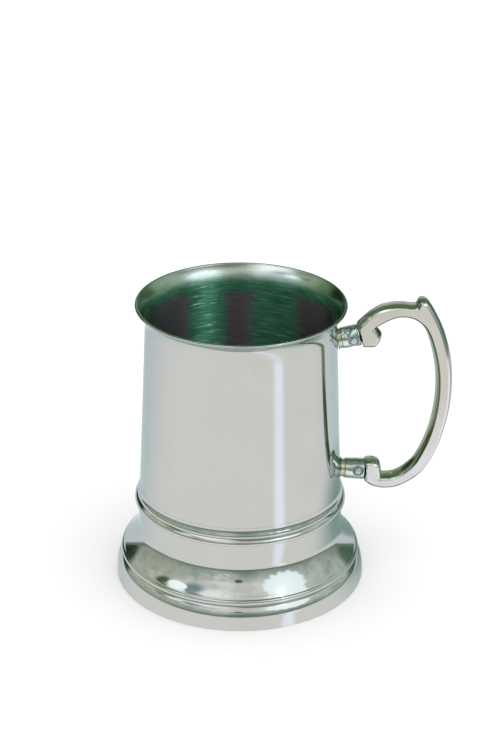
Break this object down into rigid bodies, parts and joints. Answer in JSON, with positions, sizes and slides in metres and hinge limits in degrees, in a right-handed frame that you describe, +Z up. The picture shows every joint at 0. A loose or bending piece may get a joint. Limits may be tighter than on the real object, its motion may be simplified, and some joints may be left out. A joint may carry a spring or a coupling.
{
  "type": "tankard",
  "caption": "Polished metal tankard: tapered cup with a flared lip on a stepped spun foot, and a cast C-scroll handle held by two riveted sleeves.",
  "frame": {"origin": "middle of the whole object's bounding box, on the surface that the tankard stands on; the cup's upright axis is at x = -0.01685", "axes": "+Z up, +X from the cup's axis towards the handle, +Y across the handle"},
  "size_m": [0.1368, 0.103, 0.1228],
  "materials": {
    "cup_steel": "mirror polished outside and round the lip, brushed round the inside",
    "floor_steel": "satin, turned rings",
    "ring_steel": "mirror polished",
    "foot_steel": "mirror polished",
    "plate_steel": "dull satin",
    "handle_metal": "polished, softly hazed casting",
    "stud_steel": "straw heat tint from brazing",
    "sleeve_steel": "polished, lightly dented",
    "rivet_steel": "bright"
  },
  "bodies": {
    "root": {"cup_wall": "cup_steel", "cup_floor": "floor_steel", "waist_ring": "ring_steel", "foot_shell": "foot_steel", "base_plate": "plate_steel", "handle": "handle_metal", "upper_stud": "stud_steel", "lower_stud": "stud_steel", "upper_sleeve": "sleeve_steel", "lower_sleeve": "sleeve_steel", "upper_rivet": "rivet_steel", "lower_rivet": "rivet_steel"}
  },
  "joints": []
}
